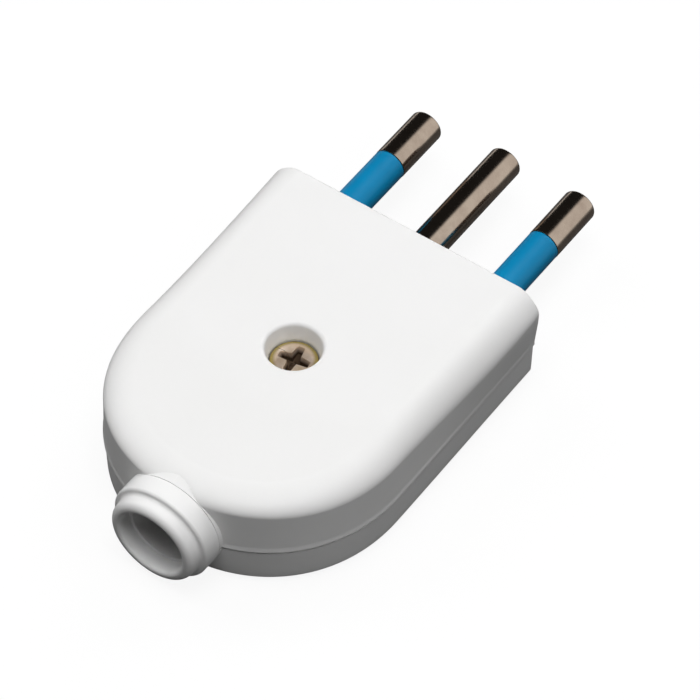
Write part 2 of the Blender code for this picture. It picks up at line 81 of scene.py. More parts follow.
# %% From a grid of points to a closed mesh
def skin(name, grid, ring=False, sharp=40):
    """Point (i, j) joins (i, j+1), (i+1, j+1) and (i+1, j). Without ring, both end rows are poles."""
    rows, columns, _ = grid.shape
    number = np.arange(rows * columns).reshape(rows, columns)
    beside = np.roll(number, -1, axis=1)
    if ring:
        under, under_beside = np.roll(number, -1, axis=0), np.roll(beside, -1, axis=0)
        quads = np.stack([number, beside, under_beside, under], axis=-1).reshape(-1, 4)
        fans = np.zeros((0, 3), int)
    else:
        inner = slice(1, rows - 2)
        quads = np.stack(
            [number[inner], beside[inner], beside[2 : rows - 1], number[2 : rows - 1]], axis=-1
        ).reshape(-1, 4)
        first = np.stack([np.full(columns, number[0, 0]), beside[1], number[1]], axis=-1)
        last = np.stack([number[-2], beside[-2], np.full(columns, number[-1, 0])], axis=-1)
        fans = np.concatenate([first, last])
    used, place = np.unique(np.concatenate([quads.ravel(), fans.ravel()]), return_inverse=True)
    points = grid.reshape(-1, 3)[used]
    quads, fans = place[: quads.size].reshape(-1, 4), place[quads.size :].reshape(-1, 3)
    corners = np.concatenate([quads[:, :3], quads[:, [0, 2, 3]], fans])
    a, b, c = (points[corners[:, k]] for k in range(3))
    if np.einsum("ij,ij->i", a, np.cross(b, c)).sum() < 0:
        quads, fans = quads[:, ::-1], fans[:, ::-1]
    mesh = bpy.data.meshes.new(name)
    mesh.from_pydata(points.tolist(), [], quads.tolist() + fans.tolist())
    mesh.shade_smooth()
    mesh.set_sharp_from_angle(angle=math.radians(sharp))
    piece = bpy.data.objects.new(name, mesh)
    bpy.context.scene.collection.objects.link(piece)
    print(f"{name}: {len(points)} points, {2 * len(quads) + len(fans)} triangles")
    return piece


# %% [markdown]
# Moulded and turned edges are never knife sharp. A profile is written as its corner points with a radius at
# each, and this helper puts a tangent arc in place of every corner. Turning the profile about an axis then
# gives a pin, a sleeve, a collar or a screw.


# %% Rounded profiles and turned pieces
def rounded(corners, steps=6, ring=False):
    """Each corner (a, b, radius) becomes an arc that touches both sides.

    The arc starts where the side is radius / tan(half the corner's angle) away from the corner.
    """
    corners = np.array(corners, float)
    points, radii = corners[:, :2], corners[:, 2]
    before, after = np.roll(points, 1, axis=0), np.roll(points, -1, axis=0)
    made = []
    for index, (point, radius) in enumerate(zip(points, radii)):
        at_end = not ring and index in (0, len(points) - 1)
        if radius == 0 or at_end:
            made.append(point[None])
            continue
        back = (before[index] - point) / np.linalg.norm(before[index] - point)
        ahead = (after[index] - point) / np.linalg.norm(after[index] - point)
        half = np.arccos(np.clip(back @ ahead, -1, 1)) / 2
        middle = (back + ahead) / np.linalg.norm(back + ahead)
        centre = point + middle * radius / np.sin(half)
        start = point + back * radius / np.tan(half) - centre
        end = point + ahead * radius / np.tan(half) - centre
        turn = np.arctan2(start[0] * end[1] - start[1] * end[0], start @ end)
        angle = np.arctan2(start[1], start[0]) + turn * np.linspace(0, 1, steps + 1)
        made.append(centre + radius * np.stack([np.cos(angle), np.sin(angle)], axis=-1))
    return np.concatenate(made)


def along(profile, longest):
    """Adds points, evenly spaced, wherever two neighbours lie further apart than longest."""
    steps = np.ceil(np.linalg.norm(np.diff(profile, axis=0), axis=1) / longest).astype(int)
    steps = np.maximum(steps, 1)
    ends = np.cumsum(np.concatenate([[0], steps]))
    return np.stack([np.interp(np.arange(ends[-1] + 1), ends, profile[:, k]) for k in range(2)], axis=-1)


def turned_about_y(profile, x, z, columns=96):
    """Each profile point (radius, y) runs round the line through (x, z) that points along Y."""
    angle = np.linspace(0, 2 * np.pi, columns, endpoint=False)
    radius, y = profile[:, 0, None], profile[:, 1, None]
    return np.stack(
        [x + radius * np.sin(angle), y + 0 * angle, z + radius * np.cos(angle)], axis=-1
    )


def turned_about_z(profile, columns=96):
    """Each profile point (radius, z) runs round the Z axis."""
    angle = np.linspace(0, 2 * np.pi, columns, endpoint=False)
    radius, z = profile[:, 0, None], profile[:, 1, None]
    return np.stack([radius * np.sin(angle), radius * np.cos(angle), z + 0 * angle], axis=-1)


# %% [markdown]
# The body seen from above is one outline: a straight front with small corners, nearly straight sides, and
# a full rear curve. Every level of both shells is this outline, a little larger or smaller. So the outline
# is a function of how far it is spread, and it always has the same number of points.
#
# The moulding isn't quite the plain box and ellipse of the solids. Towards the rear its sides swell a
# little at the seam and are pinched in at the top, and the rear curve is a superellipse, fuller at its
# shoulders and flatter at its end.

# %% The outline of the body
front_y = base_high[1]
top, fillet = cover_high[2], 4.4 * MM
half_seam = 21.5 * MM
side_length, rear_depth = 32.2 * MM, 22.2 * MM
bend_y = front_y - side_length
corner_round = 0.45 * MM
seam, flare, draft = 5.7 * MM, 0.55 * MM, 0.15 * MM
wall_top = top - fillet
swell, pinch = 0.15 * MM, 0.6 * MM
rear_trim, rear_power = 0.45 * MM, 2.15
flat_points, corner_points, side_points, rear_points = 26, 12, 44, 92


def outline(spread, front_set=0.0, high=0.0):
    """Front centre to rear centre on the right, then back on the left.

    The front is a line, its corner a quarter circle, and the side a line that moves out by the swell on
    its way to the rear, eased as s^2 (3 - 2 s). The rear is x = a cos(t)^(2/n), y = b sin(t)^(2/n) with n
    a little above two. The swell turns into a pinch as high goes from 0 at the seam to 1 at the top of
    the wall.
    """
    half, front = half_seam + spread, front_y - front_set
    fuller = swell - (swell + pinch) * high
    across = np.linspace(0, half - corner_round, flat_points, endpoint=False)
    turn = np.linspace(0, np.pi / 2, corner_points, endpoint=False)
    share = np.linspace(0, 1, side_points, endpoint=False)
    sweep = np.linspace(0, np.pi / 2, rear_points + 1)
    x = np.concatenate([
        across,
        half - corner_round + corner_round * np.sin(turn),
        half + fuller * share * share * (3 - 2 * share),
        (half + fuller) * np.abs(np.cos(sweep)) ** (2 / rear_power),
    ])
    y = np.concatenate([
        np.full(flat_points, front),
        front - corner_round + corner_round * np.cos(turn),
        front - corner_round + (bend_y - front + corner_round) * share,
        bend_y - (rear_depth + spread + fuller - rear_trim) * np.sin(sweep) ** (2 / rear_power),
    ])
    x[-1] = 0
    return np.stack([np.concatenate([x, -x[-2:0:-1]]), np.concatenate([y, y[-2:0:-1]])], axis=-1)


def level(spread, height, front_set=0.0):
    """One row of the grid: the outline at a height, which may differ from point to point."""
    high = np.clip((np.max(height) - seam) / (wall_top - seam), 0, 1)
    plan = outline(spread, front_set, high)
    return np.concatenate([plan, np.broadcast_to(height, (len(plan),))[:, None]], axis=-1)


print("outline points:", len(outline(0)))

# %% [markdown]
# The top is flat in front and falls very slightly to the rear, past a crease that bows round the screw.
# The drop is the distance behind an arc times a small slope. A soft knee, the softplus curve, takes the
# place of the hard crease, because a mould is polished there.
#
# The long edge is a low curve, as wide as the fillet. Its height swells along the sides and gets low at
# the rear, where the photograph shows the top rolling over late and fast. It is a cubic of the way back.

# %% The creased top
front_edge = 0.35 * MM
half_top = half_seam + flare - fillet
crease_lead, crease_sag, crease_fade = 1.6 * MM, 5.6 * MM, 2 * MM
crease_end = bend_y + crease_lead
crease_radius = (half_top**2 + crease_sag**2) / (2 * crease_sag)
crease_centre = crease_end - crease_sag + crease_radius
rear_y, rear_drop = bend_y - rear_depth, 1.0 * MM
slope = rear_drop / (crease_centre - crease_radius - rear_y - fillet)
knee = 0.5 * MM
edge_cubic = np.array([3.5, 6.3, -13.5, 5.2]) * MM


def drop(x, y):
    """Slope times the softplus of the distance behind the crease arc, faded out along the sides."""
    past = np.hypot(x, y - crease_centre) - crease_radius
    soft = knee * np.logaddexp(0, past / knee)
    behind = np.clip((crease_end + crease_fade - y) / (2 * crease_fade), 0, 1)
    return slope * soft * behind * behind * (3 - 2 * behind)


def rearward(plan):
    """Share of the way back along the outline: 0 at the front edge, 1 at the rearmost point."""
    return np.clip((front_y - plan[:, 1]) / (front_y - rear_y), 0, 1)


def edge_height(plan):
    """Height of the long edge's curve: c0 + c1 s + c2 s^2 + c3 s^3 of the share s of the way back."""
    return np.polynomial.polynomial.polyval(rearward(plan), edge_cubic)


print(f"crease radius: {crease_radius / MM:.1f} mm, slope: {math.degrees(math.atan(slope)):.2f} deg")

# %% [markdown]
# The rounded edge is close to a quarter of an ellipse. Along the sides it is made crisper: it turns less
# over its width and tightens just above the wall, so the light on top ends there at a clear line. The same
# rows, set in by the wall and with fewer steps, make the inside.

# %% The wall's taper and the rounded edge
edge_crispness, least_edge = 0.3, 0.4 * MM


def wall_spread(z):
    """Straight taper: out by the flare above the seam, in by the draft below it."""
    above = (z - seam) / (wall_top - seam) * flare
    return np.where(z > seam, above, -draft * (seam - z) / seam)


def edge_rows(inset, front_inset, ceiling, steps):
    """Quarter turn: out by a cos t, up by b ((1 - c) sin t + c sin^2 t), with c fading to the rear.

    The front has its own small round: it is set back by r - sqrt(r^2 - h^2) at a height h into it.
    """
    wide = fillet - inset
    plan = outline(flare - inset - wide, front_inset + front_edge, 1.0)
    high = np.maximum(edge_height(plan) - inset, least_edge)
    crispness = edge_crispness * np.clip(1 - 1.5 * rearward(plan) ** 4, 0, 1)
    fall = drop(plan[:, 0], plan[:, 1])
    rows = []
    for turn in np.linspace(0, np.pi / 2, steps + 1):
        rise = crispness * np.sin(turn) ** 2 + (1 - crispness) * np.sin(turn)
        height = ceiling - high + high * rise
        over = max(height[0] - (ceiling - front_edge), 0)
        front_set = front_inset + front_edge - math.sqrt(max(front_edge**2 - over**2, 0))
        rows.append(level(flare - inset - wide * (1 - np.cos(turn)), height - fall, front_set))
    return rows


# %% [markdown]
# The cover is one wall that runs all the way round: up the outside, over the rounded edge and the top, down
# the screw well, out under the ceiling, and down the inside to the seam. Its rows are levels of the outline
# that turn into circles round the well, so one grid without a pole makes the whole moulding.
#
# The well narrows on its way down, as a core pin needs to leave the mould, and its rim is soft. At the
# seam, a fine bead stands out on the cover's lower edge. It catches the light from above, and the base,
# set back by a hair, lies in its shade: the light and the dark line that part the two shells.

# %% The cover
well_radius, well_round = 4.0 * MM, 0.6 * MM
well_taper, well_toe = 0.5 * MM, 0.05 * MM
head_top = low_high("housing_screw")[1][2]
head_height = 2.8 * MM
well_floor = head_top - head_height - 0.3 * MM
shank_hole, floor_thickness, tube_wall = 2.0 * MM, 2.0 * MM, 1.9 * MM
wall, front_wall = 2.2 * MM, 2.6 * MM
lap_width, lap_gap = 0.85 * MM, 0.3 * MM
seam_gap = 0.2 * MM
cover_rim, base_rim = seam + seam_gap, seam - seam_gap
rim_round = 0.09 * MM
bead, bead_height = 0.08 * MM, 0.28 * MM
edge_steps, top_steps = 30, 51


def circle_rows(start, profile):
    """Circles round the screw, each point straight below its point of the start row."""
    angle = np.arctan2(start[:, 0], start[:, 1])
    return [
        np.stack([radius * np.sin(angle), radius * np.cos(angle), np.full(len(angle), z)], axis=-1)
        for radius, z in profile
    ]


def cover_grid():
    """All rows of the cover, from the seam up the outside and back down the inside."""
    low = cover_rim + rim_round
    turns = np.linspace(0, np.pi / 2, 4)
    rows = [
        level(wall_spread(low) + bead - rim_round * (1 - np.cos(t)), low - rim_round * np.sin(t))
        for t in turns[::-1]
    ]
    bead_top = low + bead_height
    rows += [level(wall_spread(z), z) for z in np.linspace(bead_top, wall_top, 8)[:-1]]
    rows += edge_rows(0, 0, top, edge_steps)
    last = rows[-1]
    rim = well_radius + well_round
    inner = circle_rows(last, [(rim, top)])[0]
    for share in np.linspace(0, 1, top_steps + 1)[1:]:
        row = last + (inner - last) * share
        row[:, 2] = top - drop(row[:, 0], row[:, 1])
        rows.append(row)
    narrow, tube = well_radius - well_taper, well_radius + tube_wall
    under = well_floor - floor_thickness
    well = rounded(
        [
            (rim, top, 0),
            (well_radius, top, well_round),
            (narrow, head_top - 0.2 * MM, 0.2 * MM),
            (narrow - well_toe, well_floor, 0.2 * MM),
            (shank_hole, well_floor, 0),
            (shank_hole, under, 0),
            (tube, under, 0),
            (tube, top - wall, 0),
        ],
        steps=8,
    )
    rows += circle_rows(last, along(well, 0.5 * MM)[1:])
    inside = edge_rows(wall, front_wall, top - wall, 6)[::-1]
    start = rows[-1]
    rows += [start + (inside[0] - start) * share for share in (0.25, 0.5, 0.75)]
    rows += inside
    lap_top, lap = 7.2 * MM, wall - lap_width - lap_gap
    rows.append(level(wall_spread(lap_top) - wall, lap_top, front_wall))
    rows.append(level(wall_spread(lap_top) - lap, lap_top, front_wall - wall + lap))
    rows.append(level(wall_spread(cover_rim) - lap, cover_rim, front_wall - wall + lap))
    return np.array(rows)


cover = skin("cover", cover_grid(), ring=True, sharp=50)

# %% [markdown]
# The base is the same wall turned over: a flat plate, a small rounded foot, a low side, and a lip that
# stands up inside the cover and keeps the two halves in line. Both ends of this grid are poles, one under
# the plate and one on its upper face.

# %% The base
base_step = 0.12 * MM


def outside(z):
    """Spread of the base's side at a height: the common taper, set back by the step at the seam."""
    return wall_spread(z) - base_step


def base_grid():
    """All rows of the base, from the middle of the underside round the rim to the middle of the floor."""
    foot, floor, lip_top, lip = 0.45 * MM, 2.0 * MM, 6.9 * MM, wall - lap_width
    middle = level(-half_seam * 0.5, 0.0)
    pole = np.zeros_like(middle)
    rows = [pole] + [pole + (middle - pole) * share for share in (0.25, 0.5, 0.75)]
    under = level(outside(0.0) - foot, 0.0, foot)
    rows += [middle] + [middle + (under - middle) * share for share in (0.4, 0.8)]
    for turn in np.linspace(0, np.pi / 2, 7):
        inset = foot * (1 - np.sin(turn))
        rows.append(level(outside(0.0) - inset, foot * (1 - np.cos(turn)), inset))
    rows += [level(outside(z), z) for z in np.linspace(foot, base_rim - rim_round, 6)[1:]]
    for turn in np.linspace(0, np.pi / 2, 4)[1:]:
        inset = rim_round * (1 - np.cos(turn))
        rows.append(level(outside(base_rim) - inset, base_rim - rim_round * (1 - np.sin(turn)), inset))
    at_rim = wall_spread(base_rim)
    rows.append(level(at_rim - lip, base_rim, front_wall - lap_width))
    rows.append(level(at_rim - lip, lip_top, front_wall - lap_width))
    rows.append(level(at_rim - wall, lip_top, front_wall))
    rows.append(level(wall_spread(floor) - wall, floor, front_wall))
    start, centre = rows[-1], pole + np.array([0, 0, floor])
    rows += [start + (centre - start) * share for share in (0.4, 0.8, 1.0)]
    return np.array(rows)


base = skin("base", base_grid(), sharp=50)

# %% [markdown]
# At the rear the collar seats on a flat, and a short stub as wide as the collar's ring stands on each shell
# where the wall curves away from it. The waist of the collar and the three pins pass through round holes
# that both shells share. Booleans make all of that, because a hole runs across the rows of both grids.
# Their tools are prisms along Y: an outline in the XZ plane, swept between two ends.


# %% Tools for the holes
def prism(name, x, z, start, end):
    """The closed outline (x, z) at both ends along Y, each end closed by a pole in its middle."""
    outer = np.stack([x, 0 * x, z], axis=-1)
    middle = np.broadcast_to(outer.mean(axis=0), outer.shape)
    along_y = np.array([0, 1.0, 0])
    first, last = along_y * start, along_y * end
    return skin(name, np.array([middle + first, outer + first, outer + last, middle + last]))


def round_prism(name, x, z, radius, start, end, columns=96):
    """A cylinder along Y."""
    angle = np.linspace(0, 2 * np.pi, columns, endpoint=False)
    return prism(name, x + radius * np.sin(angle), z + radius * np.cos(angle), start, end)


def shaped(shell, tools, sharp=50):
    """Runs one exact Boolean for each tool and keeps the result as the shell's own mesh."""
    for tool, operation in tools:
        modifier = shell.modifiers.new(tool.name, "BOOLEAN")
        modifier.operation, modifier.solver, modifier.object = operation, "EXACT", tool
    done = bpy.data.meshes.new_from_object(shell.evaluated_get(bpy.context.evaluated_depsgraph_get()))
    shell.modifiers.clear()
    shell.data = done
    done.shade_smooth()
    done.set_sharp_from_angle(angle=math.radians(sharp))
    for tool, _ in tools:
        bpy.data.objects.remove(tool)
    print(f"{shell.name} cut: {len(done.polygons)} faces")


# %% [markdown]
# The collar's own measures come first, because the shells are cut to suit them. Each shell gets the flat,
# its half of the stub, the waist hole and the three pin holes. The base's lip is notched where the collar's
# grip ring sits. The stub stops a hair short of the ring, which leaves a fine line between the pieces.

# %% The collar's seat and the pin holes
collar_low, collar_high = low_high("cord_collar")
cord_height, ring_radius = 6.9 * MM, 7.6 * MM
lip_length, ring_length, rear_grip = 2.2 * MM, 3.05 * MM, 2.4 * MM
lip_y = collar_low[1]
ring_y = lip_y + lip_length
seat_y = ring_y + ring_length
grip_front = seat_y + rear_grip
pin_height, pin_radius, pin_pitch = 7.0 * MM, 2.5 * MM, 13 * MM
pin_places = {"live_pin": pin_pitch, "neutral_pin": -pin_pitch, "earth_pin": 0.0}
waist_hole, pin_hole = 6.0 * MM, 2.8 * MM
stub_radius = ring_radius - 0.03 * MM
stub_end = seat_y - 0.04 * MM
cut_half, cut_low, cut_high = 20 * MM, -3 * MM, 19 * MM
notch_half, notch_top, notch_front = 8 * MM, 8 * MM, grip_front + 0.6 * MM
rear_clear, overrun, pin_cut = rear_y - 4 * MM, 1 * MM, 4 * MM


def stub_outline(rim, above, lowest):
    """The part of the stub's circle above or below a rim, and never under the lowest height."""
    half_turn = np.arccos((rim - cord_height) / stub_radius)
    turn = (-half_turn, half_turn) if above else (half_turn, 2 * np.pi - half_turn)
    angle = np.linspace(*turn, 97)
    return stub_radius * np.sin(angle), np.maximum(cord_height + stub_radius * np.cos(angle), lowest)


sides = np.array([-1, 1, 1, -1])
for shell, rim, lowest in ((cover, cover_rim, 0), (base, base_rim, 0.06 * MM)):
    tall = np.array([cut_low, cut_low, cut_high, cut_high])
    tools = [(prism("seat_cut", sides * cut_half, tall, rear_clear, seat_y), "DIFFERENCE")]
    if shell is base:
        tall = np.array([rim, rim, notch_top, notch_top])
        notch = prism("lip_notch", sides * notch_half, tall, seat_y - overrun, notch_front)
        tools.append((notch, "DIFFERENCE"))
    stub = prism("stub", *stub_outline(rim, shell is cover, lowest), stub_end, grip_front)
    waist = round_prism("waist_hole", 0.0, cord_height, waist_hole, rear_clear, grip_front + overrun)
    tools += [(stub, "UNION"), (waist, "DIFFERENCE")]
    for node, x in pin_places.items():
        ends = front_y - pin_cut, front_y + overrun
        hole = round_prism(f"{node}_hole", x, pin_height, pin_hole, *ends, columns=64)
        tools.append((hole, "DIFFERENCE"))
    shaped(shell, tools)

# %% [markdown]
# The collar is turned: a ring as wide as its seat, a step with a soft hollow, and a thick rounded lip round
# the mouth. Inside, the mouth is straight for a few millimetres and then narrows to the throat. All its
# edges are soft, so the radii of the profile matter more than its sizes. The grip ring has a flat above and
# below, which keeps the collar from turning between the shells.


# %% The cord collar
def collar_grid():
    """The collar's wall as a ring of corners: out over the lip and ring, in along the waist and grip."""
    lip_radius, waist, grip = 6.7 * MM, 5.7 * MM, 7.0 * MM
    mouth, throat, mouth_end = 5.1 * MM, 4.7 * MM, lip_y + 2.5 * MM
    ring_front, groove_front = stub_end - 0.06 * MM, grip_front + 0.3 * MM
    corners = [
        (mouth, lip_y, 0.5 * MM),
        (lip_radius, lip_y, 1.05 * MM),
        (lip_radius, ring_y, 0.45 * MM),
        (ring_radius, ring_y, 0.45 * MM),
        (ring_radius, ring_front, 0.08 * MM),
        (waist, ring_front, 0),
        (waist, groove_front, 0),
        (grip, groove_front, 0.2 * MM),
        (grip, collar_high[1], 0.2 * MM),
        (throat, collar_high[1], 0.3 * MM),
        (throat, mouth_end, 0.15 * MM),
        (mouth, mouth_end, 0.15 * MM),
    ]
    profile = rounded(corners, steps=8, ring=True)
    grid = turned_about_y(along(profile, 0.5 * MM), 0.0, cord_height, columns=160)
    flat = 4.85 * MM
    inside = grid[..., 1] > groove_front - 0.01 * MM
    height = np.clip(grid[..., 2] - cord_height, -flat, flat)
    grid[..., 2] = np.where(inside, cord_height + height, grid[..., 2])
    return grid


collar = skin("collar", collar_grid(), ring=True, sharp=50)

# %% [markdown]
# Each pin is turned from brass rod and plated. The two outer pins have a waist that the blue sleeve fills,
# so sleeve and bare tip run on as one cylinder. The earth pin is bare and a little longer. The flange and
# the head inside the body are part of the same turning, and the head has a blind bore for the wire.

# %% Pins and sleeves
sleeve_start, sleeve_end = (corner[1] for corner in low_high("live_pin_sleeve"))
sleeve_outer, sleeve_inner, pin_waist = 2.46 * MM, 2.02 * MM, 1.82 * MM
flange_front, flange_radius, flange_length = 23.2 * MM, 4.0 * MM, 1.4 * MM
head_length, terminal_radius = 9.6 * MM, 3.4 * MM
wire_radius, wire_depth, drill_point = 1.6 * MM, 7 * MM, 0.8 * MM


def pin_grid(node, x, sleeved):
    """Profile from the tip back over the shank, the flange and the terminal head, to its wire bore."""
    end, tip = (corner[1] for corner in low_high(node))
    shoulder, back, head = sleeve_end + 0.08 * MM, flange_front - flange_length, end + head_length
    corners = [(0, tip, 0), (pin_radius, tip, 0.4 * MM)]
    if sleeved:
        corners += [(pin_radius, shoulder, 0.08 * MM), (pin_waist, shoulder, 0)]
    corners += [
        (pin_waist if sleeved else pin_radius, flange_front, 0),
        (flange_radius, flange_front, 0.2 * MM),
        (flange_radius, back, 0.2 * MM),
        (pin_radius, back, 0),
        (pin_radius, head, 0),
        (terminal_radius, head, 0.4 * MM),
        (terminal_radius, end, 0.4 * MM),
        (wire_radius, end, 0.2 * MM),
        (wire_radius, end + wire_depth, 0),
        (0, end + wire_depth + drill_point, 0),
    ]
    return turned_about_y(along(rounded(corners), 1.2 * MM), x, pin_height, columns=112)


def sleeve_grid(x):
    """A tube with softly broken ends."""
    corners = [
        (sleeve_inner, sleeve_start, 0.05 * MM),
        (sleeve_outer, sleeve_start, 0.1 * MM),
        (sleeve_outer, sleeve_end, 0.12 * MM),
        (sleeve_inner, sleeve_end, 0.05 * MM),
    ]
    return turned_about_y(along(rounded(corners, ring=True), 1.2 * MM), x, pin_height, columns=112)


sleeved_pins = ("live_pin", "neutral_pin")
pins, sleeves = {}, {}
for node, x in pin_places.items():
    pins[node] = skin(f"{node}_turned", pin_grid(node, x, node in sleeved_pins), sharp=60)
for pin in sleeved_pins:
    node = f"{pin}_sleeve"
    sleeves[node] = skin(f"{node}_moulded", sleeve_grid(pin_places[pin]), ring=True, sharp=60)

# %% [markdown]
# The screw head is a low pan with a cross pressed into it. Its top is the upper half of a flat ellipse
# turned about the axis. The cross is a dent: where a point lies within half an arm's width of either arm,
# and within the arm's reach, it sinks, deepest in the middle, with sloping walls as the punch leaves them.
# It came to rest a few degrees out of line with the body when the screw was driven home.

# %% The screw in the well
screw_tip = low_high("housing_screw")[0][2]
head_radius, crown = 3.3 * MM, 0.45 * MM
shank_radius, point_radius, point_length = 1.7 * MM, 0.8 * MM, 0.8 * MM
cross_turn, arm_half, arm_taper, arm_reach = math.radians(8), 0.72 * MM, 0.12, 2.3 * MM
cross_depth, cross_rise, wall_run, end_run = 1.9 * MM, 0.35, 0.24 * MM, 0.4 * MM


def cross_dent(x, y):
    """Depth of the cross: the deeper of two arms, each a soft box that narrows and rises to its end.

    Across an arm the depth falls over the wall's run as s^2 (3 - 2 s), and along it over the end's run.
    """
    ahead = x * math.cos(cross_turn) + y * math.sin(cross_turn)
    aside = -x * math.sin(cross_turn) + y * math.cos(cross_turn)
    depth = 0
    for run, off in ((np.abs(ahead), np.abs(aside)), (np.abs(aside), np.abs(ahead))):
        inside = np.clip((arm_half - arm_taper * run - off) / wall_run + 0.5, 0, 1)
        reach = np.clip((arm_reach - run) / end_run, 0, 1)
        bottom = cross_depth - cross_rise * run
        depth = np.maximum(depth, inside * inside * (3 - 2 * inside) * reach * bottom)
    return depth


def screw_grid():
    """Crowned head with its dent, head side and underside, shank and tip."""
    seat, edge = head_top - head_height, head_top - crown
    run = np.linspace(0, 1, 90)
    dome = np.stack([head_radius * run, edge + crown * np.sqrt(1 - run**2)], axis=-1)
    lower = rounded(
        [
            (head_radius, edge, 0),
            (head_radius, seat, 0.15 * MM),
            (shank_radius, seat, 0),
            (shank_radius, screw_tip + point_length, 0),
            (point_radius, screw_tip, 0),
            (0, screw_tip, 0),
        ]
    )
    grid = turned_about_z(np.concatenate([dome, along(lower, 0.8 * MM)[1:]]), columns=240)
    on_top = np.arange(len(grid))[:, None] < len(dome)
    grid[..., 2] -= np.where(on_top, cross_dent(grid[..., 0], grid[..., 1]), 0)
    return grid


screw = skin("well_screw", screw_grid(), sharp=50)

# %% [markdown]
# All finishes are made of a few kinds of shader nodes. Each helper adds one kind to a node tree and gives
# back its output, so the masks below read as plain lines.


# %% Shader helpers
def feed(tree, socket, value):
    """Sets a socket to a number or a colour, or links another node's output to it."""
    if isinstance(value, (int, float, tuple)):
        socket.default_value = value
    else:
        tree.links.new(value, socket)


def noise(tree, vector, scale, detail=3.0, rough=0.55):
    """Noise texture read at a vector."""
    node = tree.nodes.new("ShaderNodeTexNoise")
    for label, value in (("Vector", vector), ("Scale", scale), ("Detail", detail), ("Roughness", rough)):
        feed(tree, node.inputs[label], value)
    return node.outputs["Fac"]


def span(tree, value, low, high, to_low=0.0, to_high=1.0):
    """Maps a range of values to another, clamped."""
    node = tree.nodes.new("ShaderNodeMapRange")
    given = {"Value": value, "From Min": low, "From Max": high, "To Min": to_low, "To Max": to_high}
    for label, number in given.items():
        feed(tree, node.inputs[label], number)
    return node.outputs["Result"]


def maths(tree, operation, first, second=0.0):
    """A Math node on two values or sockets."""
    node = tree.nodes.new("ShaderNodeMath")
    node.operation = operation
    for socket, value in zip(node.inputs, (first, second)):
        feed(tree, socket, value)
    return node.outputs["Value"]


def mix(tree, share, first, second):
    """Mixes two colours by a share. The colour sockets of the node are its inputs 6 and 7."""
    node = tree.nodes.new("ShaderNodeMix")
    node.data_type = "RGBA"
    for place, value in ((0, share), (6, first), (7, second)):
        feed(tree, node.inputs[place], value)
    return node.outputs[2]


# %% [markdown]
# White moulded plastic is never one flat colour: the surface carries a fine spark-eroded grain, the gloss
# varies a little, and it yellows or picks up grey by a hair here and there. Turned and plated metal has
# fine lines that run round the axis, which lies along Y on the pins, and stains in patches. One group
# serves all plastics and one all metals. Each puts out the same three: a mask for tint, a mask for gloss,
# and a height for the bump. The lines on metal are noise, drawn out fifty times across the axis.


# %% Two shared shader groups
def masks(name, scale):
    """An empty node group that takes a place and a scale, and puts out tint, gloss and height."""
    made = bpy.data.node_groups.new(name, "ShaderNodeTree")
    made.interface.new_socket("Place", in_out="INPUT", socket_type="NodeSocketVector")
    made.interface.new_socket("Scale", in_out="INPUT", socket_type="NodeSocketFloat").default_value = scale
    for label in ("Tint", "Gloss", "Height"):
        made.interface.new_socket(label, in_out="OUTPUT", socket_type="NodeSocketFloat")
    given, out = made.nodes.new("NodeGroupInput"), made.nodes.new("NodeGroupOutput")
    return made, given.outputs["Place"], given.outputs["Scale"], out.inputs


yellowing_scale, sheen_scale, stain_scale = 38.0, 130.0, 420.0
moulded, place, scale, out = masks("moulded_grain", 2600.0)
moulded.links.new(span(moulded, noise(moulded, place, yellowing_scale, 4.0), 0.3, 0.7), out["Tint"])
moulded.links.new(span(moulded, noise(moulded, place, sheen_scale), 0.3, 0.7), out["Gloss"])
moulded.links.new(noise(moulded, place, scale, 2.0), out["Height"])

turned, place, scale, out = masks("turned_lines", 9000.0)
stretch = turned.nodes.new("ShaderNodeVectorMath")
stretch.operation = "MULTIPLY"
stretch.inputs[1].default_value = (0.02, 1.0, 0.02)
turned.links.new(place, stretch.inputs[0])
lines = noise(turned, stretch.outputs["Vector"], scale, 2.0, 0.6)
turned.links.new(span(turned, noise(turned, place, stain_scale, 4.0, 0.6), 0.35, 0.7), out["Tint"])
turned.links.new(span(turned, lines, 0.3, 0.7), out["Gloss"])
turned.links.new(lines, out["Height"])
print("groups:", [made.name for made in bpy.data.node_groups])

# %% [markdown]
# Each finish is a Principled shader of its own. The tint mask mixes its two colours, the gloss mask runs
# between its two roughnesses, the height leads to the bump, and everything that is the same all over the
# surface is set on the shader itself. The collar has the shells' white plastic painted a shade whiter:
# painted light, which brightens its mouth and its sides.


# %% Materials
def finish(name, shared, scale, colours, roughness, depth, **settings):
    """A Principled material whose masks come from a shared group, read at the object's own place."""
    material = bpy.data.materials.new(name)
    material.use_nodes = True
    tree = material.node_tree
    shader = tree.nodes["Principled BSDF"]
    for label, value in settings.items():
        shader.inputs[label.replace("_", " ")].default_value = value
    node = tree.nodes.new("ShaderNodeGroup")
    node.node_tree = shared
    node.inputs["Scale"].default_value = scale
    tree.links.new(tree.nodes.new("ShaderNodeTexCoord").outputs["Object"], node.inputs["Place"])
    first, second = ((*colour, 1) for colour in colours)
    tree.links.new(mix(tree, node.outputs["Tint"], first, second), shader.inputs["Base Color"])
    tree.links.new(span(tree, node.outputs["Gloss"], 0, 1, *roughness), shader.inputs["Roughness"])
    bump = tree.nodes.new("ShaderNodeBump")
    bump.inputs["Distance"].default_value = depth
    tree.links.new(node.outputs["Height"], bump.inputs["Height"])
    tree.links.new(bump.outputs["Normal"], shader.inputs["Normal"])
    return material


